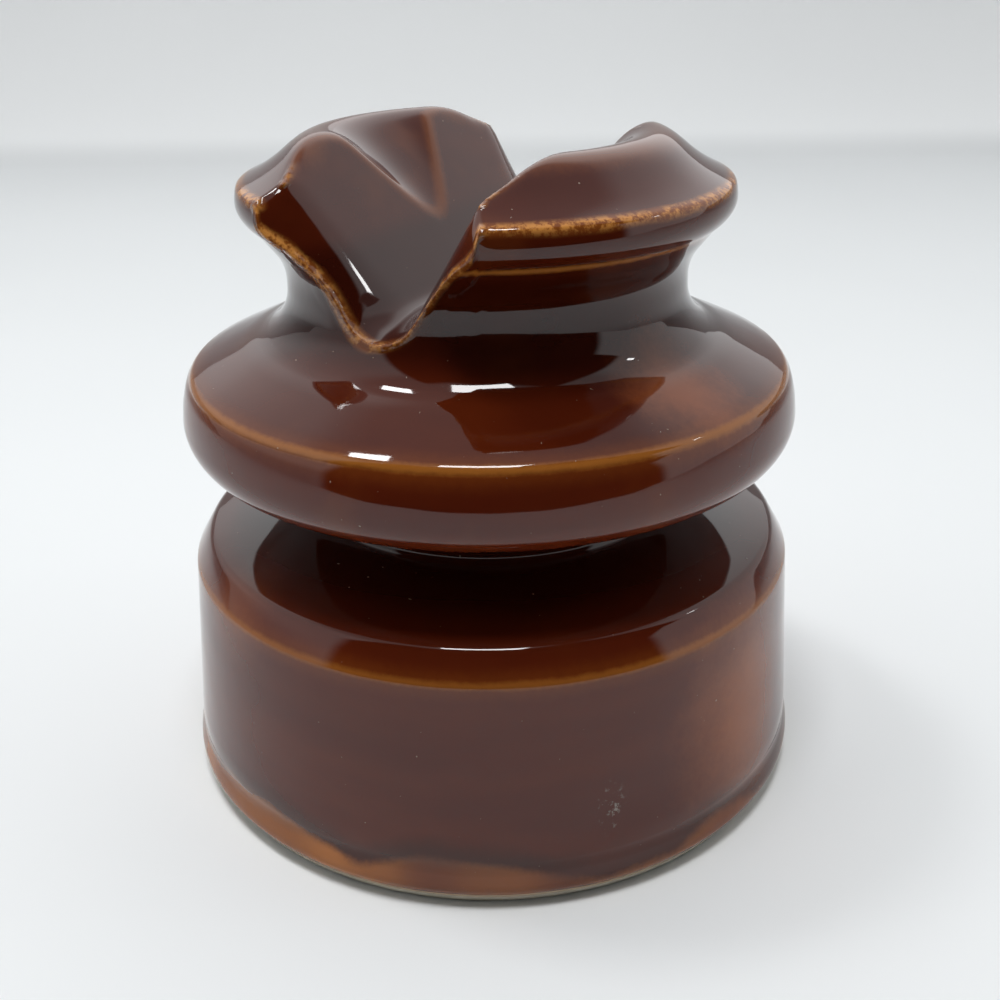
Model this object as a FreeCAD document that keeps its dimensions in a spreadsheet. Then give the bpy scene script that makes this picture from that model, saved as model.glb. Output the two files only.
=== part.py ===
import FreeCAD, Part
import os
import Sketcher
from math import atan2, cos, hypot, radians, sin, sqrt, tan

# Glazed porcelain pin insulator, turned in one piece.
# The pin axis is Z, the resting ring stands on Z = 0 and the wire groove runs along Y.
# Sizes are in millimetres and angles in degrees. A bulge or a depth is how far an arc
# stands out from its chord, or dips below it.

SIZES = {
    # Resting ring and foot of the lower skirt
    "ring_width": 6.0,
    "foot_radius": 55.4,
    "foot_bead_radius": 57.6,
    "foot_edge_height": 3.5,
    "foot_bead_height": 4.8,
    "foot_blend_depth": 0.47,
    # Outside of the lower skirt
    "skirt_root_radius": 56.8,
    "skirt_root_height": 9.2,
    "shoulder_radius": 54.4,
    "shoulder_height": 40.6,
    "shoulder_round": 1.6,
    "shelf_radius": 50.0,
    "shelf_height": 47.8,
    "shelf_round": 4.0,
    # Waist between the two skirts
    "waist_radius": 33.2,
    "waist_height": 49.7,
    "waist_gap": 3.0,
    "waist_depth": 0.73,
    # Upper skirt
    "nose_under_radius": 49.4,
    "nose_under_height": 61.0,
    "nose_under_bulge": 1.43,
    "upper_skirt_radius": 53.7,
    "upper_skirt_height": 68.3,
    "nose_side_bulge": 0.37,
    "upper_edge_radius": 51.8,
    "upper_edge_height": 75.3,
    "upper_edge_round": 1.8,
    # Side tie groove, between the upper skirt and the crown
    "neck_foot_radius": 41.0,
    "neck_foot_height": 80.2,
    "neck_foot_depth": 2.08,
    "neck_radius": 34.2,
    "neck_height": 89.5,
    "neck_top_depth": 0.83,
    # Rim of the crown
    "rim_under_radius": 37.2,
    "rim_under_rise": 7.8,
    "rim_bulge": 1.36,
    "rim_edge_radius": 41.4,
    "rim_height": 8.9,
    "rim_round": 1.8,
    # Dished top of the crown, its ridge and the bowl inside the ridge
    "dish_depth": 0.56,
    "ridge_outer_radius": 31.6,
    "ridge_rise": 6.1,
    "ridge_bulge": 1.16,
    "ridge_inner_radius": 23.6,
    "ridge_inner_rise": 0.5,
    "bowl_floor_radius": 3.5,
    "bowl_depth": 19.3,
    "bowl_floor_depth": 0.3,
    "bowl_centre_drop": 0.8,
    # Wire groove across the crown and its two flared mouths
    "groove_depth": 23.7,
    "groove_floor_round": 4.0,
    "groove_half_angle": 36.0,
    "groove_over_ridge": 8.0,
    "mouth_start": 26.5,
    "mouth_run_out": 2.6,
    "mouth_half_angle": 40.0,
    "mouth_floor_drop": 4.6,
    "mouth_floor_round": 14.0,
    # Pin hole and the boss around it
    "pin_hole_radius": 13.0,
    "pin_hole_depth": 56.0,
    "pin_hole_roof_rise": 4.0,
    "boss_radius": 23.5,
    "boss_root_radius": 26.0,
    "boss_end_height": 6.0,
    "boss_end_round": 2.0,
    # Hollow between the boss and the lower skirt
    "hollow_top_height": 35.0,
    "hollow_top_radius": 45.3,
    "hollow_round": 5.0,
}

LEFT = 1
RIGHT = -1
TOUCH = 0.02


class Size:
    """A length with its present value and the sheet expression that gives it."""

    def __init__(self, value, text):
        self.value = value
        self.text = text

    def __add__(self, other):
        return Size(self.value + other.value, f"({self.text} + {other.text})")

    def __sub__(self, other):
        return Size(self.value - other.value, f"({self.text} - {other.text})")


def size(name):
    """The named size, as it stands in the sheet."""
    return Size(SIZES[name], f"Sizes.{name}")


ON_AXIS = Size(0.0, "0")


def rim_under_height():
    """Where the neck ends and the crown's rim begins."""
    return size("neck_height") + size("rim_under_rise")


def rim_edge_height():
    """The widest edge of the crown."""
    return rim_under_height() + size("rim_height")


def ridge_height():
    """The outer foot of the ridge's rounded top."""
    return rim_edge_height() + size("ridge_rise")


def groove_floor_height():
    """The wire groove's floor between its mouths."""
    return ridge_height() - size("groove_depth")


def make_sheet(doc):
    """Put the driving sizes in a sheet and give each cell its name."""
    sheet = doc.addObject("Spreadsheet::Sheet", "Sizes")
    for row, (name, value) in enumerate(SIZES.items(), start=1):
        sheet.set(f"A{row}", name)
        sheet.set(f"B{row}", str(value))
        sheet.setAlias(f"B{row}", name)
    doc.recompute()
    return sheet


def origin_feature(body, role):
    """One of the body's own origin planes or axes, such as XZ_Plane."""
    return next(feature for feature in body.Origin.OriginFeatures if feature.Role == role)


def add_sketch(body, name, role):
    """A sketch on one of the body's origin planes."""
    sketch = body.newObject("Sketcher::SketchObject", name)
    sketch.AttachmentSupport = [(origin_feature(body, role), "")]
    sketch.MapMode = "FlatFace"
    return sketch


def bind(sketch, constraint, text):
    """Add a constraint and let the sheet drive it."""
    index = sketch.addConstraint(constraint)
    sketch.setExpression(f"Constraints[{index}]", text)


def arc_radius(start, end, rise):
    """The radius of an arc that stands this far out from the chord between two corners."""
    run_x = end[0] - start[0]
    run_y = end[1] - start[1]
    half_chord_squared = (run_x.value ** 2 + run_y.value ** 2) / 4
    value = (half_chord_squared + rise.value ** 2) / (2 * rise.value)
    text = f"(({run_x.text}^2 + {run_y.text}^2) / 4 + {rise.text}^2) / (2 * {rise.text})"
    return Size(value, text)


def arc_between(start, end, radius, side):
    """The shorter arc from start to end, with its centre LEFT or RIGHT of the way there."""
    run_x = end[0] - start[0]
    run_y = end[1] - start[1]
    chord = hypot(run_x, run_y)
    rise = side * sqrt(radius ** 2 - (chord / 2) ** 2) / chord
    centre_x = (start[0] + end[0]) / 2 - run_y * rise
    centre_y = (start[1] + end[1]) / 2 + run_x * rise
    first, last = (start, end) if side == LEFT else (end, start)
    circle = Part.Circle(FreeCAD.Vector(centre_x, centre_y, 0), FreeCAD.Vector(0, 0, 1), radius)
    from_angle = atan2(first[1] - centre_y, first[0] - centre_x)
    to_angle = atan2(last[1] - centre_y, last[0] - centre_x)
    return Part.ArcOfCircle(circle, from_angle, to_angle)


def draw_outline(sketch, steps):
    """Draw a closed outline. Each step is a corner and the way from it to the next:
    None for a line, or an arc's rise over its chord and the side of its centre."""
    corners = [corner for corner, way in steps]
    places = [(x.value, y.value) for x, y in corners]
    starts = []
    ends = []
    for index, (corner, way) in enumerate(steps):
        start = places[index]
        end = places[(index + 1) % len(places)]
        if way is None:
            line = Part.LineSegment(FreeCAD.Vector(*start, 0), FreeCAD.Vector(*end, 0))
            edge = sketch.addGeometry(line)
            starts.append((edge, 1))
            ends.append((edge, 2))
        else:
            rise, side = way
            radius = arc_radius(corner, corners[(index + 1) % len(corners)], rise)
            edge = sketch.addGeometry(arc_between(start, end, radius.value, side))
            starts.append((edge, 1 if side == LEFT else 2))
            ends.append((edge, 2 if side == LEFT else 1))
            bind(sketch, Sketcher.Constraint("Radius", edge, radius.value), radius.text)
    for index, (x, y) in enumerate(corners):
        edge, point = starts[index]
        sketch.addConstraint(Sketcher.Constraint("Coincident", *ends[index - 1], edge, point))
        if x is ON_AXIS:
            sketch.addConstraint(Sketcher.Constraint("PointOnObject", edge, point, -2))
        else:
            bind(sketch, Sketcher.Constraint("DistanceX", -1, 1, edge, point, x.value), x.text)
        if y is ON_AXIS:
            sketch.addConstraint(Sketcher.Constraint("PointOnObject", edge, point, -1))
        else:
            bind(sketch, Sketcher.Constraint("DistanceY", -1, 1, edge, point, y.value), y.text)


def turn_profile(body):
    """Turn the whole body from its half section."""
    sketch = add_sketch(body, "half_section", "XZ_Plane")
    pin_hole_end = size("boss_end_height") + size("pin_hole_depth")
    ridge_inner_height = ridge_height() + size("ridge_inner_rise")
    bowl_floor_height = ridge_height() - size("bowl_depth")
    draw_outline(sketch, [
        ((size("foot_radius") - size("ring_width"), ON_AXIS), None),
        ((size("foot_radius"), ON_AXIS), None),
        ((size("foot_bead_radius"), size("foot_edge_height")), None),
        ((size("foot_bead_radius"), size("foot_bead_height")), (size("foot_blend_depth"), RIGHT)),
        ((size("skirt_root_radius"), size("skirt_root_height")), None),
        ((size("shoulder_radius"), size("shoulder_height")), None),
        ((size("shelf_radius"), size("shelf_height")), None),
        ((size("waist_radius"), size("waist_height")), (size("waist_depth"), RIGHT)),
        ((size("waist_radius"), size("waist_height") + size("waist_gap")), None),
        ((size("nose_under_radius"), size("nose_under_height")), (size("nose_under_bulge"), LEFT)),
        ((size("upper_skirt_radius"), size("upper_skirt_height")), (size("nose_side_bulge"), LEFT)),
        ((size("upper_edge_radius"), size("upper_edge_height")), None),
        ((size("neck_foot_radius"), size("neck_foot_height")), (size("neck_foot_depth"), RIGHT)),
        ((size("neck_radius"), size("neck_height")), (size("neck_top_depth"), RIGHT)),
        ((size("rim_under_radius"), rim_under_height()), (size("rim_bulge"), LEFT)),
        ((size("rim_edge_radius"), rim_edge_height()), (size("dish_depth"), RIGHT)),
        ((size("ridge_outer_radius"), ridge_height()), (size("ridge_bulge"), LEFT)),
        ((size("ridge_inner_radius"), ridge_inner_height), None),
        ((size("bowl_floor_radius"), bowl_floor_height), (size("bowl_floor_depth"), RIGHT)),
        ((ON_AXIS, bowl_floor_height - size("bowl_centre_drop")), None),
        ((ON_AXIS, pin_hole_end + size("pin_hole_roof_rise")), None),
        ((size("pin_hole_radius"), pin_hole_end), None),
        ((size("pin_hole_radius"), size("boss_end_height")), None),
        ((size("boss_radius"), size("boss_end_height")), None),
        ((size("boss_root_radius"), size("hollow_top_height")), None),
        ((size("hollow_top_radius"), size("hollow_top_height")), None),
    ])
    turned = body.newObject("PartDesign::Revolution", "turned_body")
    turned.Profile = sketch
    turned.ReferenceAxis = (sketch, ["V_Axis"])
    turned.Angle = 360
    body.Document.recompute()


def circles_at(shape, radius, height):
    """Names of the edges that run round the pin axis at a radius and height."""
    names = []
    for index, edge in enumerate(shape.Edges, start=1):
        start = edge.valueAt(edge.FirstParameter)
        level = abs(start.z - height) < TOUCH and abs(edge.CenterOfMass.z - height) < TOUCH
        if level and abs(hypot(start.x, start.y) - radius) < TOUCH:
            names.append(f"Edge{index}")
    return names


def round_circles(body, name, places, round_name):
    """Round the turned edges at the given radii and heights."""
    base = body.Tip
    edges = []
    for radius, height in places:
        edges += circles_at(base.Shape, radius.value, height.value)
    if len(edges) < len(places):
        raise RuntimeError(f"{name}: found {len(edges)} of {len(places)} edges")
    fillet = body.newObject("PartDesign::Fillet", name)
    fillet.Base = (base, edges)
    fillet.setExpression("Radius", f"Sizes.{round_name}")
    body.Document.recompute()


def round_turned_edges(body):
    """Soften the edges of the turned body."""
    round_circles(body, "shoulder_edge", [(size("shoulder_radius"), size("shoulder_height"))],
                  "shoulder_round")
    round_circles(body, "shelf_edge", [(size("shelf_radius"), size("shelf_height"))], "shelf_round")
    round_circles(body, "upper_skirt_edge", [(size("upper_edge_radius"), size("upper_edge_height"))],
                  "upper_edge_round")
    round_circles(body, "rim_edge", [(size("rim_edge_radius"), rim_edge_height())], "rim_round")
    round_circles(body, "hollow_corners", [(size("boss_root_radius"), size("hollow_top_height")),
                                           (size("hollow_top_radius"), size("hollow_top_height"))],
                  "hollow_round")
    round_circles(body, "boss_end_edges", [(size("pin_hole_radius"), size("boss_end_height")),
                                           (size("boss_radius"), size("boss_end_height"))],
                  "boss_end_round")


def draw_groove_section(sketch, half_angle_name, floor_height, floor_round):
    """Draw a V with a round floor, as wide as the half angle makes it."""
    half_angle = radians(SIZES[half_angle_name])
    top = ridge_height() + size("groove_over_ridge")
    centre = floor_height + floor_round
    foot_x = floor_round.value * cos(half_angle)
    foot_y = centre.value - floor_round.value * sin(half_angle)
    top_x = foot_x + (top.value - foot_y) * tan(half_angle)
    left_foot = FreeCAD.Vector(-foot_x, foot_y, 0)
    right_foot = FreeCAD.Vector(foot_x, foot_y, 0)
    left_top = FreeCAD.Vector(-top_x, top.value, 0)
    right_top = FreeCAD.Vector(top_x, top.value, 0)
    lid = sketch.addGeometry(Part.LineSegment(right_top, left_top))
    left = sketch.addGeometry(Part.LineSegment(left_top, left_foot))
    floor = sketch.addGeometry(arc_between((-foot_x, foot_y), (foot_x, foot_y),
                                           floor_round.value, LEFT))
    right = sketch.addGeometry(Part.LineSegment(right_foot, right_top))
    sketch.addConstraint([
        Sketcher.Constraint("Coincident", lid, 2, left, 1),
        Sketcher.Constraint("Coincident", right, 2, lid, 1),
        Sketcher.Constraint("Tangent", left, 2, floor, 1),
        Sketcher.Constraint("Tangent", floor, 2, right, 1),
        Sketcher.Constraint("Horizontal", lid),
        Sketcher.Constraint("PointOnObject", floor, 3, -2),
        Sketcher.Constraint("Equal", left, right),
    ])
    bind(sketch, Sketcher.Constraint("Radius", floor, floor_round.value), floor_round.text)
    bind(sketch, Sketcher.Constraint("DistanceY", -1, 1, floor, 3, centre.value), centre.text)
    bind(sketch, Sketcher.Constraint("DistanceY", -1, 1, lid, 1, top.value), top.text)
    bind(sketch, Sketcher.Constraint("Angle", right, radians(90) - half_angle),
         f"90 - Sizes.{half_angle_name}")


def groove_station(body, name, place, half_angle_name, floor_height, round_name):
    """One cross-section of the wire groove, at its place along the groove."""
    sketch = add_sketch(body, name, "XZ_Plane")
    sketch.setExpression(".AttachmentOffset.Base.z", place)
    draw_groove_section(sketch, half_angle_name, floor_height, size(round_name))
    return sketch


def cut_wire_groove(body):
    """Cut the V groove across the crown, flared at both mouths for a bent wire."""
    before = body.Shape.Volume
    mouth_floor_height = groove_floor_height() - size("mouth_floor_drop")
    straight = ("groove_half_angle", groove_floor_height(), "groove_floor_round")
    flared = ("mouth_half_angle", mouth_floor_height, "mouth_floor_round")
    mouth_end = size("rim_edge_radius") + size("mouth_run_out")
    stations = [
        groove_station(body, "front_mouth_end", mouth_end.text, *flared),
        groove_station(body, "front_mouth_start", "Sizes.mouth_start", *straight),
        groove_station(body, "back_mouth_start", "-Sizes.mouth_start", *straight),
        groove_station(body, "back_mouth_end", f"-{mouth_end.text}", *flared),
    ]
    body.Document.recompute()
    groove = body.newObject("PartDesign::SubtractiveLoft", "wire_groove")
    groove.Profile = stations[0]
    groove.Sections = stations[1:]
    groove.Ruled = True
    body.Document.recompute()
    if body.Shape.Volume >= before:
        raise RuntimeError("the wire groove cuts nothing")


def make_porcelain_body(doc):
    """The insulator's only piece."""
    body = doc.addObject("PartDesign::Body", "porcelain_body")
    body.Label = "porcelain_body"
    body.Placement = FreeCAD.Placement()
    doc.recompute()
    turn_profile(body)
    round_turned_edges(body)
    cut_wire_groove(body)
    return body


def check(doc, pieces):
    """Stop if a feature failed or a piece isn't one sound solid."""
    for feature in doc.Objects:
        if "Invalid" in feature.State or "Error" in feature.State:
            raise RuntimeError(f"{feature.Name} failed: {feature.State}")
        if feature.TypeId == "Sketcher::SketchObject" and not feature.FullyConstrained:
            raise RuntimeError(f"{feature.Name} isn't fully constrained")
    for piece in pieces:
        if piece.Shape.isNull() or not piece.Shape.isValid() or len(piece.Shape.Solids) != 1:
            raise RuntimeError(f"{piece.Label} isn't one sound solid")


def main():
    doc = FreeCAD.newDocument("pin_insulator")
    make_sheet(doc)
    pieces = [make_porcelain_body(doc)]
    doc.recompute()
    check(doc, pieces)
    os.makedirs("parts", exist_ok=True)
    for piece in pieces:
        piece.Shape.exportStep(f"parts/{piece.Label}.step")
        box = piece.Shape.optimalBoundingBox(False)
        print(f"{piece.Label}: {box.XLength:.2f} x {box.YLength:.2f} x {box.ZLength:.2f} mm, "
              f"{piece.Shape.Volume / 1000:.1f} cubic centimetres")


main()
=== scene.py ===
import bpy
import numpy as np
from math import acos, atan2, cos, hypot, pi, radians, sin, tan
from mathutils import Matrix, Vector, kdtree, noise


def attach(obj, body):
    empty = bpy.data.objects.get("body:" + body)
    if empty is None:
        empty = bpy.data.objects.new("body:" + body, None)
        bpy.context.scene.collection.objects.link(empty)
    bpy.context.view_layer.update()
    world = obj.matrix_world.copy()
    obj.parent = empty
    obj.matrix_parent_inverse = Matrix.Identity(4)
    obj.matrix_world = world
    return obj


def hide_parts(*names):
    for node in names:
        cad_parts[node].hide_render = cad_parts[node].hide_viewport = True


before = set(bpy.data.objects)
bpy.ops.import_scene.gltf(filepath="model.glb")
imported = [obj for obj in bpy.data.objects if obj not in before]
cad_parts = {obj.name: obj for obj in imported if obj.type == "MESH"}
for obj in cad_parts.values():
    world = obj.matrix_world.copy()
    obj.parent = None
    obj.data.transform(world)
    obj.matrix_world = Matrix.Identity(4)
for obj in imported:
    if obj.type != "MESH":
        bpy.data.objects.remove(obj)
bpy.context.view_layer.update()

MM = 0.001
LEFT = 1
RIGHT = -1

# The mesh's fineness: columns and rings, how far the rings crowd at the rim, and the paths' steps
COLUMNS = 240
SIDE_RINGS = 34
TOP_RINGS = 72
SIDE_CROWDING = 1.5
TOP_CROWDING = 1.3
TRACE_STEP = 0.05
CUT_STEP = 0.08
FINE_STEP = 0.1
THREAD_STEP = 0.6
ROOF_STEP = 2.0
LONGEST_STEP = 3.0
HOLLOW_TURN = 9.0
MERGE_DISTANCE = 0.000002

# Places on the half section, in millimetres from the pin axis and from the resting ring
RING_INNER = (49.4, 0.0)
FOOT = (55.4, 0.0)
BEAD_LOW = (57.6, 3.5)
BEAD_HIGH = (57.6, 4.8)
SKIRT_ROOT = (56.8, 9.2)
SHOULDER = (54.4, 40.6)
SHELF = (51.4, 45.6)
WAIST = (33.2, 49.7)
WAIST_TOP = (33.2, 52.7)
NOSE_UNDER = (49.4, 61.0)
NOSE = (53.7, 68.3)
UPPER_EDGE = (51.8, 75.3)
NECK_FOOT = (41.0, 80.2)
NECK_THROAT = (34.2, 89.5)
RIM_UNDER = (36.2, 96.2)
RIM_LOW = (39.0, 99.8)
RIM_WIDE = (41.5, 103.0)
RIM_EDGE = (41.0, 106.2)
RIDGE_OUTER = (31.6, 112.3)
RIDGE_INNER = (23.6, 112.8)
BOWL_FLOOR = (3.5, 93.0)
BOWL_CENTRE = (0.0, 92.2)
HOLLOW_OUTER = (45.3, 35.0)
HOLLOW_INNER = (26.0, 35.0)
BOSS = (23.5, 6.0)
HOLE_MOUTH = (13.0, 6.0)
HOLE_ROOF = (13.0, 62.0)
HOLE_TOP = (0.0, 66.0)

# Rises of the arcs over their chords, and radii of the rounds
BEAD_RISE = 0.47
WAIST_RISE = 0.73
NOSE_RISE = 1.43
SIDE_RISE = 0.37
NECK_RISE = 2.08
THROAT_RISE = 0.7
RIM_FACE_RISE = 0.42
RIM_TOP_RISE = 0.15
DISH_RISE = 0.56
RIDGE_RISE = 1.16
CENTRE_RISE = 0.3
RING_ROUND = 0.5
BEAD_ROUND = 1.6
SHOULDER_ROUND = 1.9
SHELF_ROUND = 2.5
UPPER_EDGE_ROUND = 2.1
RING_INNER_ROUND = 0.6
HOLLOW_ROUND = 5.0
BOSS_ROUND = 2.0

# Where the crown's own columns begin, and how soft their edges are further in
CROWN_START = 81.6
EDGE_SOFTNESS = 1.0
INNER_SOFTNESS = 4.0
INNER_RADIUS = 37.0
INNER_FADE = 5.0
CENTRE_RADIUS = 5.0
CENTRE_FADE = 6.0
STILL_POINTS = 12

# The pin thread
THREAD_PITCH = 6.35
THREAD_DEPTH = 1.3
THREAD_SPAN = (10.5, 60.5)
THREAD_FADE = 2.0

# The wire groove: floor, round and half angle along its run and at its mouths
GROOVE_TOP = 120.3
GROOVE_FLOOR = 88.6
GROOVE_ROUND = 4.0
GROOVE_ANGLE = 36.0
MOUTH_FLOOR = 84.0
MOUTH_ROUND = 14.0
MOUTH_ANGLE = 40.0
MOUTH_START = 26.5
MOUTH_END = 44.0

# Where the groove's walls fold outwards, how far out the crown ends there, and how both move with x
FOLD_START = 24.5
FOLD_SLOPE = 0.48
BORDER_START = 34.0
BORDER_SLOPE = 0.13
SLOPE_END = 20.0
FOLD_WIDTH = 3.0
FULL_LEAN = 1.2

# Lumps at the groove's front mouth: place to the right, near and up, reach and depth
MOUTH_LUMPS = (((-5.5, 37.0, 97.5), 5.0, 1.3),
               ((-1.0, 39.8, 101.0), 4.0, 0.9),
               ((-25.5, 25.5, 91.5), 5.0, 0.5),
               ((-31.0, 22.5, 98.5), 4.0, 0.5))
LUMP_SCALE = 0.55

# The camera, in metres and radians
CAMERA_PLACE = (0.1038, -0.1798, 0.1448)
CAMERA_TURN = radians(30)
CAMERA_TILT = 0.4446
CAMERA_YAW = 0.0081
CAMERA_ROLL = -0.0117
CAMERA_LENS = 44.14
SENSOR_WIDTH = 36

# The paper under and behind the body, in metres
PAPER_SIDE = 2.2
PAPER_FRONT = 0.4
PAPER_BACK = 0.72
PAPER_RUN = 0.2
PAPER_RISE = 0.3
PAPER_BEND = 0.12
PAPER_FAR = 0.5

# Lamps: direction from the camera's side and height in degrees, size in metres and power in watts
LAMPS = (("left_lamp", -112, 66, (0.16, 0.14), 1.7),
         ("ceiling_lamp", -10, 79, (0.34, 0.26), 5.4),
         ("strip_lamp", 90, 36, (0.07, 0.035), 0.15))
LAMP_DISTANCE = 1.0
LAMP_AIM = (0, 0, 0.08)

# Colours of the glaze, as linear red, green and blue
LOWER_DEEP = (0.084, 0.0110, 0.0032)
LOWER_LIGHT = (0.102, 0.0150, 0.0038)
UPPER_DEEP = (0.058, 0.0075, 0.0022)
UPPER_LIGHT = (0.082, 0.0125, 0.0028)
BLOTCH_BROWN = (0.15, 0.034, 0.006)
# Painted shade: the dark brown laid on the neck under the rim and on the waist under the upper skirt
PAINTED_SHADE_BROWN = (0.022, 0.0030, 0.0012)
PATCH_ORANGE = (0.32, 0.085, 0.022)
EDGE_GLOW = (0.26, 0.072, 0.010)
EDGE_GOLD = (0.38, 0.135, 0.022)
AMBER_DEEP = (0.22, 0.060, 0.010)
AMBER_LIGHT = (0.64, 0.27, 0.06)
WAVE_BROWN = (0.026, 0.005, 0.002)
FOOT_ORANGE = (0.46, 0.155, 0.026)
CLAY_DEEP = (0.40, 0.36, 0.28)
CLAY_LIGHT = (0.50, 0.46, 0.38)
CREAM = (0.62, 0.50, 0.36)
PINHOLE_TAN = (0.45, 0.34, 0.24)
SCUFF_GREY = (0.30, 0.28, 0.24)

# Turned edges where the glaze ran thin, as places on the half section
UPPER_LINE = (51.6, 75.0)
LOWER_LINE = (54.2, 40.8)
RIDGE_LINE = (29.0, 112.9)
RIM_LINE = (40.6, 106.2)

# Marks on the glaze, as places to the right, near and up
RIGHT_PATCH = (42.5, 37.0, 22.0)
TOP_PATCH = (30.0, 31.0, 79.5)
LEFT_PATCH = (-45.0, 34.0, 44.0)
FOOT_PATCH = (-38.0, 42.0, 5.0)
SCUFF_PLACE = (18.4, 53.1, 16.8)

# Colours of the paper and of the room's light
PAPER_COOL = (0.80, 0.82, 0.83)
PAPER_PALE = (0.84, 0.86, 0.87)
PAPER_LIFT = (0.14, 0.14, 0.14)
ROOM_WHITE = (0.97, 0.99, 1.0, 1)

# The room's light by direction, with turns from the camera's side and heights in degrees
ROOM_LEVEL = 0.95
BACK_LIFT = 0.35
LOW_LEFT_DROP = 0.4
CEILING_LEVEL = 0.55
DARK_LEVEL = 0.01
SEEN_LEVEL = 0.85
DARK_RIGHT = 62
DARK_LEFT = -60
DARK_TOP = 67
DARK_EDGE = 3


def from_camera(first, second):
    """Turn x and y into how far right and how far near a place lies for the camera, or back again."""
    return (first * cos(CAMERA_TURN) + second * sin(CAMERA_TURN),
            first * sin(CAMERA_TURN) - second * cos(CAMERA_TURN))


def arc(start, end, rise, side, step=0.25):
    """Points on the way from start to end, end included, on an arc that stands rise over its chord."""
    chord = hypot(end[0] - start[0], end[1] - start[1])
    radius = (chord ** 2 / 4 + rise ** 2) / (2 * rise)
    half = np.arcsin(chord / 2 / radius)
    count = max(4, int(2 * half * radius / step))
    middle = ((start[0] + end[0]) / 2, (start[1] + end[1]) / 2)
    along = ((end[0] - start[0]) / chord, (end[1] - start[1]) / chord)
    centre = (middle[0] - along[1] * side * (radius - rise), middle[1] + along[0] * side * (radius - rise))
    first = atan2(start[1] - centre[1], start[0] - centre[0])
    turns = [first + side * 2 * half * index / count for index in range(1, count + 1)]
    return [(centre[0] + radius * cos(turn), centre[1] + radius * sin(turn)) for turn in turns]


def rounded(before, corner, after, radius, count=8):
    """Points of the round that replaces a corner."""
    to_before = (Vector(before) - Vector(corner)).normalized()
    to_after = (Vector(after) - Vector(corner)).normalized()
    half = acos(max(-1.0, min(1.0, to_before.dot(to_after)))) / 2
    reach = radius / tan(half)
    start = Vector(corner) + to_before * reach
    end = Vector(corner) + to_after * reach
    weight = sin(half)
    points = []
    for index in range(count + 1):
        t = index / count
        shares = ((1 - t) ** 2, 2 * t * (1 - t) * weight, t ** 2)
        point = start * shares[0] + Vector(corner) * shares[1] + end * shares[2]
        points.append(tuple(point / sum(shares)))
    return points


def dense(points, step):
    """The same path with its points at even steps."""
    path = np.array(points, float)
    lengths = np.hypot(*np.diff(path, axis=0).T)
    along = np.concatenate(([0.0], np.cumsum(lengths)))
    places = np.linspace(0, along[-1], max(2, int(round(along[-1] / step)) + 1))
    return np.column_stack([np.interp(places, along, path[:, 0]), np.interp(places, along, path[:, 1])])


def thinned(points, longest, turn=6.0):
    """As few of the path's points as keep its curves: a long step where it is straight."""
    path = dense(points, TRACE_STEP)
    heading = np.unwrap(np.arctan2(*np.diff(path, axis=0).T[::-1]))
    kept = [0]
    for index in range(1, len(path) - 1):
        far = np.hypot(*(path[index] - path[kept[-1]])) >= longest
        turned = abs(heading[index] - heading[min(kept[-1], len(heading) - 1)]) >= radians(turn)
        if far or turned:
            kept.append(index)
    if len(path) - 1 - kept[-1] < 3:
        kept.pop()
    return [tuple(path[index]) for index in kept] + [tuple(path[-1])]


def neck_curve(step=0.25):
    """The neck's hollow curve, from its foot up to its throat."""
    return arc(NECK_FOOT, NECK_THROAT, NECK_RISE, RIGHT, step)


def neck_start():
    """The place on the neck where the crown's rings begin."""
    return next(point for point in neck_curve(TRACE_STEP) if point[1] >= CROWN_START)


def outer_wall():
    """From the resting ring up the outside to the neck."""
    path = rounded(RING_INNER, FOOT, BEAD_LOW, RING_ROUND, 3)
    path += rounded(FOOT, BEAD_LOW, BEAD_HIGH, BEAD_ROUND, 5)
    path += arc(BEAD_HIGH, SKIRT_ROOT, BEAD_RISE, RIGHT)
    path += rounded(SKIRT_ROOT, SHOULDER, SHELF, SHOULDER_ROUND)
    path += rounded(SHOULDER, SHELF, WAIST, SHELF_ROUND)
    path += [WAIST]
    path += arc(WAIST, WAIST_TOP, WAIST_RISE, RIGHT)
    path += arc(NOSE_UNDER, NOSE, NOSE_RISE, LEFT)
    # The arc's last six points make way for the round of the edge
    path += arc(NOSE, UPPER_EDGE, SIDE_RISE, LEFT)[:-6]
    path += rounded(NOSE, UPPER_EDGE, NECK_FOOT, UPPER_EDGE_ROUND)
    path += [NECK_FOOT] + [point for point in neck_curve() if point[1] < CROWN_START]
    path.append(neck_start())
    return path


def crown_side():
    """From the neck's start up to the rim's edge."""
    start = neck_start()
    path = [start] + [point for point in neck_curve(TRACE_STEP) if point[1] > start[1]]
    path += arc(NECK_THROAT, RIM_UNDER, THROAT_RISE, RIGHT)
    path += [RIM_LOW]
    path += arc(RIM_LOW, RIM_WIDE, RIM_FACE_RISE, LEFT)
    path += arc(RIM_WIDE, RIM_EDGE, RIM_TOP_RISE, LEFT)
    return path


def crown_top():
    """From the rim's edge over the ridge to the centre of the bowl."""
    path = [RIM_EDGE] + arc(RIM_EDGE, RIDGE_OUTER, DISH_RISE, RIGHT)
    path += arc(RIDGE_OUTER, RIDGE_INNER, RIDGE_RISE, LEFT)
    path += [BOWL_FLOOR] + arc(BOWL_FLOOR, BOWL_CENTRE, CENTRE_RISE, RIGHT)
    return path


def underside():
    """From the resting ring through the hollow and over the boss to the pin hole's mouth."""
    path = rounded(FOOT, RING_INNER, HOLLOW_OUTER, RING_INNER_ROUND, 3)
    path += rounded(RING_INNER, HOLLOW_OUTER, HOLLOW_INNER, HOLLOW_ROUND)
    path += rounded(HOLLOW_OUTER, HOLLOW_INNER, BOSS, HOLLOW_ROUND)
    path += rounded(HOLLOW_INNER, BOSS, HOLE_MOUTH, BOSS_ROUND)
    path += rounded(BOSS, HOLE_MOUTH, HOLE_ROOF, BOSS_ROUND)
    return path


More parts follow.
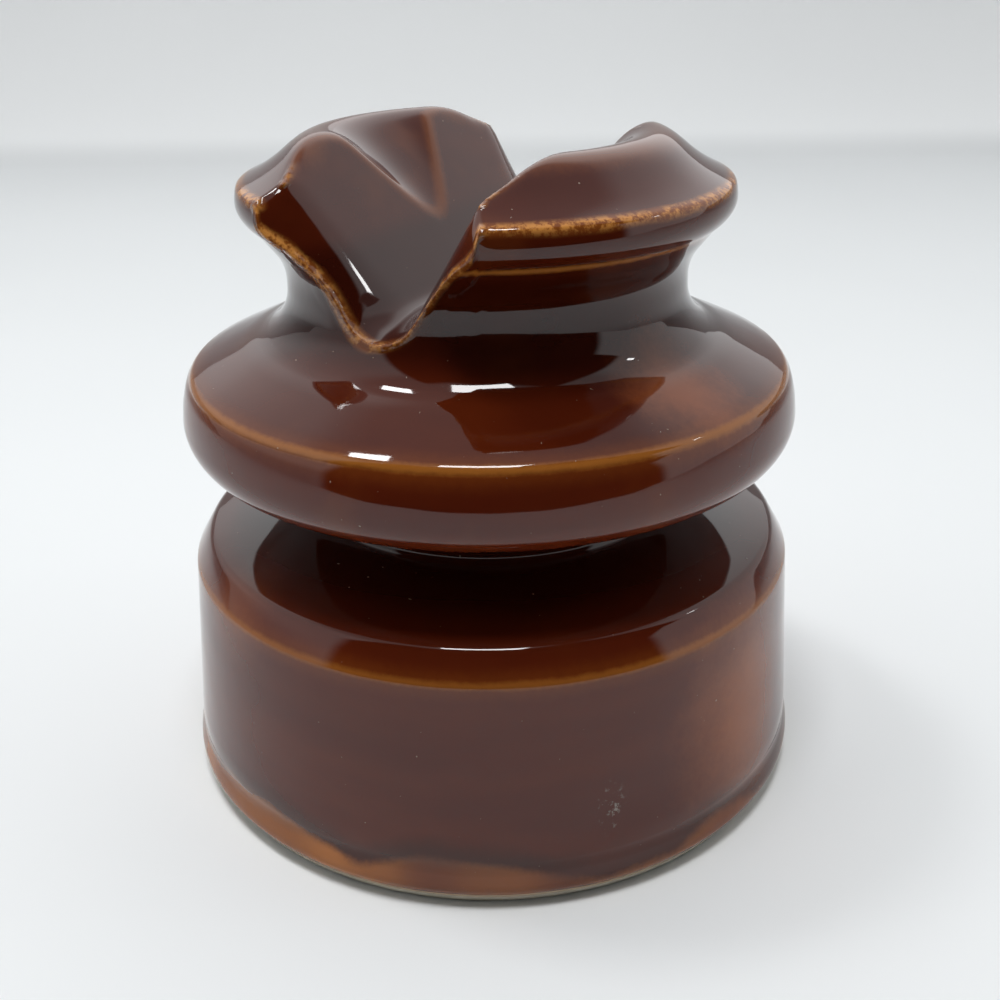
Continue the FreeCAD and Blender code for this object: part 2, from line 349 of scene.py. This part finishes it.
def wall_reach(floor, round_radius, angle):
    """How far out a groove's wall gets at the groove's top."""
    foot = floor + round_radius * (1 - sin(radians(angle)))
    return round_radius * cos(radians(angle)) + (GROOVE_TOP - foot) * tan(radians(angle))


def groove_section(x, lean):
    """Height of the wire groove's wall at x, where lean goes from 0, straight, to 1, fully flared."""
    floor = GROOVE_FLOOR + (MOUTH_FLOOR - GROOVE_FLOOR) * lean
    round_radius = GROOVE_ROUND + (MOUTH_ROUND - GROOVE_ROUND) * lean
    turn = radians(90 - GROOVE_ANGLE) + radians(GROOVE_ANGLE - MOUTH_ANGLE) * lean
    foot_x = round_radius * np.sin(turn)
    foot_z = floor + round_radius * (1 - np.cos(turn))
    straight_top = wall_reach(GROOVE_FLOOR, GROOVE_ROUND, GROOVE_ANGLE)
    flared_top = wall_reach(MOUTH_FLOOR, MOUTH_ROUND, MOUTH_ANGLE)
    top_x = straight_top + (flared_top - straight_top) * lean
    on_floor = floor + round_radius - np.sqrt(np.maximum(round_radius ** 2 - np.minimum(x, foot_x) ** 2, 0))
    on_wall = foot_z + (x - foot_x) * (GROOVE_TOP - foot_z) / (top_x - foot_x)
    return np.where(x < foot_x, on_floor, on_wall)


def groove_height(x, y):
    """Height of the wire groove's surface over a point of the plan."""
    x = np.abs(x)
    y = np.abs(y)
    fold = FOLD_START + FOLD_SLOPE * np.minimum(x, SLOPE_END)
    border = BORDER_START + BORDER_SLOPE * np.minimum(x, SLOPE_END)
    share_at_border = (border - MOUTH_START) / (MOUTH_END - MOUTH_START)
    run = y - fold
    bend = (run + FOLD_WIDTH) ** 2 / (4 * FOLD_WIDTH)
    eased = np.where(run > FOLD_WIDTH, run, np.where(run < -FOLD_WIDTH, 0, bend))
    lean = np.clip(share_at_border * eased / (border - fold), 0, FULL_LEAN)
    return groove_section(x, lean)


def softened(path, softness, points_past_centre=60):
    """The path with its corners rounded, left as it is near its start."""
    reach = int(softness / (2 * FINE_STEP))
    past_centre = path[::-1][1:points_past_centre] * (-1, 1)
    longer = np.concatenate([path, past_centre])
    kernel = np.ones(2 * reach + 1) / (2 * reach + 1)
    soft = longer.copy()
    for _ in range(2):
        padded = np.concatenate([np.repeat(soft[:1], reach, 0), soft, np.repeat(soft[-1:], reach, 0)])
        soft = np.column_stack([np.convolve(padded[:, axis], kernel, "valid") for axis in (0, 1)])
    share = np.clip(np.arange(len(path)) / STILL_POINTS - 0.4, 0, 1)[:, None]
    return path * (1 - share) + soft[:len(path)] * share


def cut_crown(side, top, across, along):
    """The crown's side and top as the wire groove leaves them.
    Also the places where the cut starts and ends."""
    over = side[:, 1] > groove_height(side[:, 0] * across, side[:, 0] * along)
    borders = []
    if over.any():
        side = side[:int(np.argmax(over)) + 1]
        borders.append(side[-1])
    radii = np.linspace(side[-1, 0], 0, int(side[-1, 0] / CUT_STEP))
    uncut = np.interp(radii, top[::-1, 0], top[::-1, 1])
    groove = groove_height(radii * across, radii * along)
    for index in np.flatnonzero(np.diff((groove < uncut).astype(int))):
        borders.append((radii[index], min(uncut[index], groove[index])))
    over_top = np.column_stack([radii, np.minimum(uncut, groove)])
    over_top[0] = side[-1]
    return dense(side, FINE_STEP), dense(over_top, FINE_STEP)[1:], borders


def crown_column(side, top, angle):
    """One column of the crown from the neck to the centre, cut by the wire groove and softened.
    Also the places where the cut starts and ends."""
    side, over_top, borders = cut_crown(side, top, cos(angle), sin(angle))
    path = np.concatenate([side, over_top])
    crisp = softened(path, EDGE_SOFTNESS)
    soft = softened(path, INNER_SOFTNESS)
    radius = path[:, :1]
    over_side = (np.arange(len(path)) > len(side))[:, None]
    inner = np.clip((INNER_RADIUS - radius) / INNER_FADE, 0, 1) * over_side
    away = np.clip((radius - CENTRE_RADIUS) / CENTRE_FADE, 0, 1)
    path = path * (1 - away) + (crisp * (1 - inner) + soft * inner) * away
    turn = len(side) - 1
    side_places = turn * (1 - (1 - np.arange(SIDE_RINGS) / SIDE_RINGS) ** SIDE_CROWDING)
    top_places = turn + (len(path) - 1 - turn) * (np.arange(TOP_RINGS + 1) / TOP_RINGS) ** TOP_CROWDING
    places = np.concatenate([side_places, top_places])
    index = np.arange(len(path))
    column = np.column_stack([np.interp(places, index, path[:, 0]), np.interp(places, index, path[:, 1])])
    column[-1, 0] = 0.0
    return column, borders


def crown_columns():
    """Every column of the crown, with the places where the groove's borders cross it."""
    side = dense(crown_side(), FINE_STEP)
    top = dense(crown_top(), FINE_STEP)
    return [crown_column(side, top, key * 2 * pi / COLUMNS) for key in range(COLUMNS)]


def select_none():
    bpy.ops.object.select_all(action="DESELECT")


def select_where(thing, chosen):
    """Select the vertices that the test chooses and the edges between them."""
    for vertex in thing.data.vertices:
        vertex.select = chosen(vertex)
    for edge in thing.data.edges:
        edge.select = all(thing.data.vertices[index].select for index in edge.vertices)


def half_section(crown):
    """The body's whole half section, from the bowl's centre down the outside and up the pin hole."""
    hollow = underside()
    wall = thinned(outer_wall(), LONGEST_STEP)
    hole = [tuple(point) for point in dense([hollow[-1], HOLE_ROOF], THREAD_STEP)]
    roof = thinned([HOLE_ROOF, HOLE_TOP], ROOF_STEP)
    below = thinned(hollow, LONGEST_STEP, HOLLOW_TURN) + hole[1:] + roof[1:]
    return [tuple(point) for point in crown[::-1]] + wall[::-1][1:] + below


def turn_body(crown):
    """Spin the body's half section round the pin axis."""
    points = half_section(crown)
    select_none()
    bpy.ops.mesh.primitive_circle_add(vertices=len(points), radius=0.1)
    body = bpy.context.object
    body.name = "glazed_body"
    ring = body.data.attributes.new("ring", "INT", "POINT")
    for index, (radius, height) in enumerate(points):
        body.data.vertices[index].co = (radius * MM, 0, height * MM)
        ring.data[index].value = index
    select_where(body, lambda vertex: vertex.index in (0, len(points) - 1))
    bpy.ops.object.mode_set(mode="EDIT")
    bpy.ops.mesh.select_mode(type="EDGE")
    bpy.ops.mesh.delete(type="EDGE_FACE")
    bpy.ops.mesh.select_mode(type="VERT")
    bpy.ops.mesh.select_all(action="SELECT")
    bpy.ops.mesh.spin(steps=COLUMNS, angle=2 * pi, center=(0, 0, 0), axis=(0, 0, 1))
    bpy.ops.mesh.select_all(action="SELECT")
    bpy.ops.mesh.remove_doubles(threshold=MERGE_DISTANCE)
    bpy.ops.mesh.normals_make_consistent(inside=False)
    bpy.ops.object.mode_set(mode="OBJECT")
    bpy.ops.object.shade_smooth()
    return body


def cut_groove(body, columns):
    """Move the crown's columns down to the wire groove."""
    ring = body.data.attributes["ring"].data
    crown_rings = SIDE_RINGS + TOP_RINGS + 1
    for vertex in body.data.vertices:
        place = crown_rings - 1 - ring[vertex.index].value
        if place < 0:
            continue
        key = round(atan2(vertex.co.y, vertex.co.x) / (2 * pi) * COLUMNS) % COLUMNS
        turn = key * 2 * pi / COLUMNS
        radius, height = columns[key][0][place]
        vertex.co = (radius * cos(turn) * MM, radius * sin(turn) * MM, height * MM)
    body.data.attributes.remove(body.data.attributes["ring"])


def border_points(columns, between=8):
    """Points along the groove's borders, more of them than there are columns."""
    crossings = []
    for key, (_, found) in enumerate(columns):
        turn = key * 2 * pi / COLUMNS
        crossings.append([Vector((r * cos(turn), r * sin(turn), z)) * MM for r, z in found])
    points = []
    for key, here in enumerate(crossings):
        following = crossings[(key + 1) % COLUMNS]
        if len(following) != len(here):
            points += here
            continue
        for start, end in zip(here, following):
            points += [start.lerp(end, step / between) for step in range(between)]
    return points


def roughen_mouth(body):
    """Small lumps and hollows where the groove's front mouth was cut through the rim."""
    for (right, near, height), reach, depth in MOUTH_LUMPS:
        middle = Vector((*from_camera(right, near), height))
        for vertex in body.data.vertices:
            away = (vertex.co / MM - middle).length
            if away < reach:
                lump = noise.noise(vertex.co / MM * LUMP_SCALE) * depth * (1 - away / reach)
                outward = Vector((vertex.co.x, vertex.co.y, 0)).normalized()
                vertex.co += outward * lump * MM


def cut_thread(body):
    """Press the pin thread into the hole's wall."""
    low, high = THREAD_SPAN
    for vertex in body.data.vertices:
        radius = hypot(vertex.co.x, vertex.co.y) / MM
        height = vertex.co.z / MM
        if abs(radius - HOLE_MOUTH[0]) > 0.01 or not low < height < high:
            continue
        turn = atan2(vertex.co.y, vertex.co.x)
        wave = 0.5 - 0.5 * cos(2 * pi * height / THREAD_PITCH - turn)
        fade = min(1.0, (height - low) / THREAD_FADE, (high - height) / THREAD_FADE)
        scale = (radius + THREAD_DEPTH * fade * wave) / radius
        vertex.co.x *= scale
        vertex.co.y *= scale


def mark_borders(body, borders, farthest=20.0):
    """Write each point's distance from the groove's borders, in millimetres, as an attribute."""
    tree = kdtree.KDTree(len(borders))
    for index, point in enumerate(borders):
        tree.insert(point, index)
    tree.balance()
    away = body.data.attributes.new("border_distance", "FLOAT", "POINT")
    away.data.foreach_set("value", [min(tree.find(v.co)[2] / MM, farthest) for v in body.data.vertices])


class Field:
    """A number that changes over a surface, for use in Python expressions."""

    def __init__(self, paint, socket):
        self.paint = paint
        self.socket = socket

    def _field(self, operation, first, second=None):
        sockets = {0: first} if second is None else {0: first, 1: second}
        made = self.paint.node("ShaderNodeMath", {"operation": operation}, sockets)
        return Field(self.paint, made.outputs[0])

    def __add__(self, other):
        return self._field("ADD", self, other)

    def __radd__(self, other):
        return self._field("ADD", other, self)

    def __sub__(self, other):
        return self._field("SUBTRACT", self, other)

    def __rsub__(self, other):
        return self._field("SUBTRACT", other, self)

    def __mul__(self, other):
        return self._field("MULTIPLY", self, other)

    def __pow__(self, other):
        return self._field("POWER", self, other)

    def __abs__(self):
        return self._field("ABSOLUTE", self)

    def arcsine(self):
        return self._field("ARCSINE", self)

    def heading(self, other):
        """The angle whose tangent is this over the other."""
        return self._field("ARCTAN2", self, other)

    def at_least(self, other):
        return self._field("MAXIMUM", self, other)

    def at_most(self, other):
        return self._field("MINIMUM", self, other)

    def root(self):
        return self._field("SQRT", self)

    def step(self, low, high):
        """0 below low, 1 above high and a smooth way between. With low over high it falls."""
        ends = (0.0, 1.0) if low < high else (1.0, 0.0)
        sockets = {"Value": self, "From Min": min(low, high), "From Max": max(low, high),
                   "To Min": ends[0], "To Max": ends[1]}
        node = self.paint.node("ShaderNodeMapRange", {"interpolation_type": "SMOOTHSTEP"}, sockets)
        return Field(self.paint, node.outputs["Result"])


class Paint:
    """The nodes of one material, or of the room's light."""

    def __init__(self, owner):
        self.owner = owner
        self.owner.use_nodes = True
        self.tree = self.owner.node_tree
        self.tree.nodes.clear()

    def node(self, kind, settings=None, sockets=None):
        made = self.tree.nodes.new(kind)
        for name, value in (settings or {}).items():
            setattr(made, name, value)
        for name, value in (sockets or {}).items():
            if isinstance(value, Field):
                self.tree.links.new(value.socket, made.inputs[name])
            elif isinstance(value, bpy.types.NodeSocket):
                self.tree.links.new(value, made.inputs[name])
            else:
                made.inputs[name].default_value = value
        return made

    def field(self, socket):
        return Field(self, socket)

    def axes(self, output):
        """x, y and z of a texture coordinate."""
        place = self.node("ShaderNodeTexCoord").outputs[output]
        split = self.node("ShaderNodeSeparateXYZ", None, {0: place})
        return [self.field(split.outputs[axis]) for axis in range(3)]

    def seen_by_camera(self):
        return self.field(self.node("ShaderNodeLightPath").outputs["Is Camera Ray"])

    def stretched(self, height_scale):
        """Object coordinates stretched in height."""
        place = self.node("ShaderNodeTexCoord").outputs["Object"]
        sockets = {"Vector": place, "Scale": (1, 1, height_scale)}
        return self.node("ShaderNodeMapping", None, sockets).outputs[0]

    def cloud(self, vector, scale, detail=2.0, roughness=0.5):
        """Soft noise between 0 and 1."""
        sockets = {"Vector": vector, "Scale": scale, "Detail": detail, "Roughness": roughness}
        return self.field(self.node("ShaderNodeTexNoise", None, sockets).outputs[0])

    def attribute(self, name):
        return self.field(self.node("ShaderNodeAttribute", {"attribute_name": name}).outputs["Fac"])

    def blend(self, first, second, share):
        """A colour between two colours."""
        made = self.node("ShaderNodeMix", {"data_type": "RGBA"}, {"Factor": share})
        for socket, value in ((made.inputs[6], first), (made.inputs[7], second)):
            if isinstance(value, tuple):
                socket.default_value = (*value, 1.0)
            else:
                self.tree.links.new(value, socket)
        return made.outputs[2]

    def surface(self, color, roughness, **sockets):
        shader = self.node("ShaderNodeBsdfPrincipled", None,
                           {"Base Color": color, "Roughness": roughness, **sockets})
        self.node("ShaderNodeOutputMaterial", None, {"Surface": shader.outputs[0]})
        return self.owner


class Glaze(Paint):
    """The brown glaze's nodes, with the places on the body, in millimetres, and the noises they share."""

    def __init__(self, name):
        super().__init__(bpy.data.materials.new(name))
        x, y, self.z = [axis * 1000 for axis in self.axes("Object")]
        self.radius = (x * x + y * y).root()
        self.across, self.toward = from_camera(x, y)
        self.even = self.stretched(1)
        self.mottle = self.cloud(self.even, 90, 4.0, 0.6)
        self.blotch = self.cloud(self.even, 45, 3.0, 0.55)
        self.speckle = self.cloud(self.even, 700, 3.0, 0.7)
        self.ragged = (self.mottle - 0.5) * 2.0 + (self.speckle - 0.5) * 2.2
        self.skirt = self.radius.step(50, 54)
        self.border = self.attribute("border_distance")
        self.outside = self.radius.step(31, 36)
        self.specks = self.cloud(self.even, 1600, 0.0).step(0.87, 0.91)

    def near_circle(self, edge):
        """Distance from a turned edge."""
        return ((self.radius - edge[0]) ** 2 + (self.z - edge[1]) ** 2).root()

    def near_spot(self, spot, stretch=1.0):
        """Distance from a mark, stretched in height."""
        across = self.across - spot[0]
        toward = self.toward - spot[1]
        up = (self.z - spot[2]) * stretch
        return (across * across + toward * toward + up * up).root()

    def ground(self):
        """The glaze's brown, with its streaks and its blotches, and painted shade on the neck under the rim
        and on the waist under the upper skirt.
        """
        streaks = self.cloud(self.stretched(4), 22, 3.0).step(0.35, 0.7)
        lower = self.blend(LOWER_DEEP, LOWER_LIGHT, streaks)
        upper = self.blend(UPPER_DEEP, UPPER_LIGHT, streaks)
        body = self.blend(lower, upper, self.z.step(72, 77))
        blotches = self.blotch.step(0.52, 0.78) * (0.1 + self.z.step(52, 66) * 0.5)
        body = self.blend(body, BLOTCH_BROWN, blotches)
        # Painted shade: the neck under the rim and the waist under the upper skirt are darkened where shade
        # falls
        neck = self.z.step(82, 87) * self.z.step(101, 97) * self.radius.step(41, 37)
        waist = self.z.step(66, 58) * self.radius.step(48, 40)
        return self.blend(body, PAINTED_SHADE_BROWN, neck.at_least(waist) * 0.65)

    def patches(self):
        """Where the glaze ran thin over whole patches."""
        right = self.near_spot(RIGHT_PATCH, 0.7) + self.ragged * 2.0 + (self.blotch - 0.5) * 10
        top = self.near_spot(TOP_PATCH) + self.ragged * 2.5 + (self.blotch - 0.5) * 14
        left = self.near_spot(LEFT_PATCH, 0.8) + self.ragged * 1.5
        return (right.step(20, 0) * 0.85 + top.step(14, 0) * 0.6 + left.step(13, 2) * 0.3).at_most(1)

    def mouth(self):
        """The amber border of the groove's mouths."""
        left = self.across.step(-12, -22) * self.toward.step(5, 15) * self.z.step(104, 101)
        return (self.border + self.ragged * 0.5 - left * 0.8).step(1.4, 0.2) * self.outside

    def with_edges(self, body, mouth):
        """The colour of the body with glowing, golden and amber edges."""
        upper = self.near_circle(UPPER_LINE)
        lower = self.near_circle(LOWER_LINE)
        upper_glow = (upper + self.ragged * 0.6).step(4.0, 0.3) * 0.25
        lower_glow = (lower + self.ragged * 0.6).step(3.5, 0.3) * 0.25
        inner = (self.border + self.ragged * 0.5).step(2.2, 0.0) * (1 - self.outside) * 0.45
        ridge = (self.near_circle(RIDGE_LINE) + self.ragged).step(4.5, 0.5) * 0.3
        body = self.blend(body, EDGE_GLOW, upper_glow.at_least(lower_glow).at_least(inner).at_least(ridge))
        upper_line = (upper + self.ragged * 0.25).step(1.2, 0.1) * 0.7
        lower_line = (lower + self.ragged * 0.3).step(1.1, 0.1) * 0.5
        low_rim = (self.near_circle(RIM_LOW) + self.ragged * 0.35).step(1.1, 0.1) * 0.75
        body = self.blend(body, EDGE_GOLD, upper_line.at_least(lower_line).at_least(low_rim))
        rim = (self.near_circle(RIM_LINE) + self.ragged * 0.45).step(1.7, 0.3)
        amber = self.blend(AMBER_DEEP, AMBER_LIGHT, self.speckle.step(0.42, 0.62))
        return self.blend(body, amber, rim.at_least(mouth) * 0.85)

    def with_foot(self, body):
        """The colour of the body with the orange band round the foot, under a dark wavy line."""
        wave = (self.cloud(self.stretched(0.15), 32, 2.0) - 0.5) * 16
        height = self.z + wave + self.across.step(-20, 30) * 2.0 + self.ragged * 0.5
        dark_wave = height.step(13, 8.5) * height.step(5.5, 8.5) * self.skirt
        body = self.blend(body, WAVE_BROWN, dark_wave * 0.6)
        share = 0.15 + self.cloud(self.stretched(0.3), 38, 1.0).step(0.38, 0.6) * 0.5
        left = self.near_spot(FOOT_PATCH).step(22, 8) * 0.35
        share = share * (0.6 + self.across.step(5, -35) * 0.4) + left
        return self.blend(body, FOOT_ORANGE, height.step(8.5, 6.5) * self.skirt * share)

    def relief(self):
        """Height of the surface's ripples, rough borders and pinholes, in metres."""
        ripple = self.cloud(self.stretched(1.5), 70, 1.0)
        grain = self.cloud(self.even, 420, 2.0)
        rough_border = self.border.step(1.4, 0.2) * self.outside * self.toward.step(0, 8)
        rough_places = rough_border * 0.0005 + self.z.step(2.1, 1.7) * 0.0001
        return ripple * 0.00010 + grain * rough_places + self.specks * 0.00003


def brown_glaze():
    """Red-brown glaze, thinner and more orange on the edges, over an unglazed resting ring."""
    glaze = Glaze("brown_glaze")
    mouth = glaze.mouth()
    body = glaze.blend(glaze.ground(), PATCH_ORANGE, glaze.patches())
    body = glaze.with_edges(body, mouth)
    body = glaze.with_foot(body)
    ring_height = glaze.z + (glaze.mottle - 0.5) * 0.8
    cream = ring_height.step(1.7, 2.1) * ring_height.step(3.1, 2.6) * glaze.skirt
    body = glaze.blend(body, CREAM, cream * 0.75)
    body = glaze.blend(body, PINHOLE_TAN, glaze.specks * 0.5)
    scuff = glaze.near_spot(SCUFF_PLACE, 0.5).step(3.0, 1.0) * glaze.speckle.step(0.54, 0.66)
    body = glaze.blend(body, SCUFF_GREY, scuff * 0.7)
    pin_hole = glaze.radius.step(17, 15) * glaze.z.step(70, 60)
    bare = ring_height.step(2.1, 1.7).at_least(pin_hole)
    clay = glaze.blend(CLAY_DEEP, CLAY_LIGHT, glaze.mottle.step(0.3, 0.7))
    body = glaze.blend(body, clay, bare)
    rough_mouth = mouth * glaze.toward.step(0, 8) * glaze.speckle.step(0.4, 0.7)
    roughness = 0.045 + bare * 0.6 + rough_mouth * 0.15 + scuff * 0.3
    bump = glaze.node("ShaderNodeBump", None, {"Strength": 1.0, "Distance": 1.0, "Height": glaze.relief()})
    return glaze.surface(body, roughness, Normal=bump.outputs[0], IOR=1.5)


def pale_paper():
    paint = Paint(bpy.data.materials.new("pale_paper"))
    color = paint.blend(PAPER_COOL, PAPER_PALE, paint.cloud(paint.stretched(1), 6, 1.0))
    height = paint.axes("Object")[2] * 1000
    lift = paint.blend((0, 0, 0), PAPER_LIFT, height.step(0, 12) * paint.seen_by_camera())
    return paint.surface(color, 0.9, **{"Emission Color": lift, "Emission Strength": 1.0})


def lies_far(vertex):
    """Whether a vertex of the paper lies on its far side, flat on the floor."""
    return abs(vertex.co.z) < MM and from_camera(vertex.co.x, vertex.co.y)[1] < -PAPER_FAR


def lay_paper():
    """White paper that runs up behind the object in one soft bend."""
    select_none()
    bpy.ops.mesh.primitive_plane_add(size=1)
    paper = bpy.context.object
    paper.name = "paper"
    for vertex in paper.data.vertices:
        side = PAPER_SIDE if vertex.co.x > 0 else -PAPER_SIDE
        near = -PAPER_BACK if vertex.co.y > 0 else PAPER_FRONT
        vertex.co = (*from_camera(side, near), 0)
    bpy.ops.object.mode_set(mode="EDIT")
    bpy.ops.mesh.select_all(action="DESELECT")
    bpy.ops.object.mode_set(mode="OBJECT")
    select_where(paper, lies_far)
    bpy.ops.object.mode_set(mode="EDIT")
    bpy.ops.mesh.select_mode(type="EDGE")
    way_up = (*from_camera(0, -PAPER_RUN), PAPER_RISE)
    bpy.ops.mesh.extrude_region_move(TRANSFORM_OT_translate={"value": way_up})
    bpy.ops.object.mode_set(mode="OBJECT")
    select_where(paper, lies_far)
    bpy.ops.object.mode_set(mode="EDIT")
    bpy.ops.mesh.select_mode(type="EDGE")
    bpy.ops.mesh.bevel(offset=PAPER_BEND, segments=12)
    bpy.ops.object.mode_set(mode="OBJECT")
    bpy.ops.object.shade_smooth()
    paper.data.materials.append(pale_paper())


def set_camera():
    """The photograph's own view of the object."""
    data = bpy.data.cameras.new("camera")
    camera = bpy.data.objects.new("camera", data)
    bpy.context.scene.collection.objects.link(camera)
    data.sensor_width = SENSOR_WIDTH
    data.lens = CAMERA_LENS
    data.clip_start = 0.01
    level = cos(CAMERA_TILT)
    forward = Vector((sin(CAMERA_YAW) * level, cos(CAMERA_YAW) * level, -sin(CAMERA_TILT)))
    right = Vector((cos(CAMERA_YAW), -sin(CAMERA_YAW), 0))
    up = right.cross(forward)
    rolled_right = right * cos(CAMERA_ROLL) + up * sin(CAMERA_ROLL)
    rolled_up = up * cos(CAMERA_ROLL) - right * sin(CAMERA_ROLL)
    turned = Matrix((rolled_right, rolled_up, -forward)).transposed()
    place = Matrix.Rotation(CAMERA_TURN, 3, "Z") @ turned
    camera.matrix_world = Matrix.Translation(CAMERA_PLACE) @ place.to_4x4()
    bpy.context.scene.camera = camera


def area_lamp(name, turn, height, size, power):
    """A lamp by its angle from the camera's side and its height in degrees, aimed at the body."""
    data = bpy.data.lights.new(name, "AREA")
    data.energy = power
    data.shape = "RECTANGLE"
    data.size, data.size_y = size
    lamp = bpy.data.objects.new(name, data)
    bpy.context.scene.collection.objects.link(lamp)
    heading = CAMERA_TURN + radians(turn - 90)
    flat = LAMP_DISTANCE * cos(radians(height))
    aim = Vector(LAMP_AIM)
    lamp.location = (flat * cos(heading), flat * sin(heading), aim.z + LAMP_DISTANCE * sin(radians(height)))
    lamp.rotation_euler = (aim - lamp.location).to_track_quat("-Z", "Y").to_euler()


def light_room():
    """A pale room, brighter at the back, whose side behind the camera lies in the dark, with three lamps."""
    world = bpy.data.worlds.new("room")
    bpy.context.scene.world = world
    paint = Paint(world)
    x, y, z = paint.axes("Generated")
    across, toward = from_camera(x, y)
    turn = across.heading(toward) * (180 / pi)
    height = z.arcsine() * (180 / pi)
    level = ROOM_LEVEL + abs(turn).step(135, 160) * BACK_LIFT
    level = level - turn.step(-55, -65) * height.step(22, 5) * LOW_LEFT_DROP
    level = level + (CEILING_LEVEL - level) * height.step(48, 60)
    under_top = (height - DARK_TOP - turn.step(-40, -5) * 8).step(DARK_EDGE, -DARK_EDGE)
    left_of_right = (DARK_RIGHT + height.step(26, 33) * 18 - turn).step(-DARK_EDGE, DARK_EDGE)
    right_of_left = (turn - DARK_LEFT).step(-DARK_EDGE, DARK_EDGE)
    dark = left_of_right * right_of_left * under_top
    level = level * (1 - dark) + dark * DARK_LEVEL
    seen = paint.seen_by_camera()
    level = level * (1 - seen) + seen * SEEN_LEVEL
    background = paint.node("ShaderNodeBackground", None, {"Color": ROOM_WHITE, "Strength": level})
    paint.node("ShaderNodeOutputWorld", None, {"Surface": background.outputs[0]})
    for lamp in LAMPS:
        area_lamp(*lamp)


columns = crown_columns()
body = turn_body(columns[0][0])
cut_groove(body, columns)
roughen_mouth(body)
cut_thread(body)
mark_borders(body, border_points(columns))
body.data.materials.append(brown_glaze())
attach(body, "root")
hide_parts("porcelain_body")
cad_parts["porcelain_body"].data.materials.clear()
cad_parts["porcelain_body"].data.materials.append(body.data.materials[0])
lay_paper()
set_camera()
light_room()
bpy.context.scene.view_settings.view_transform = "Standard"
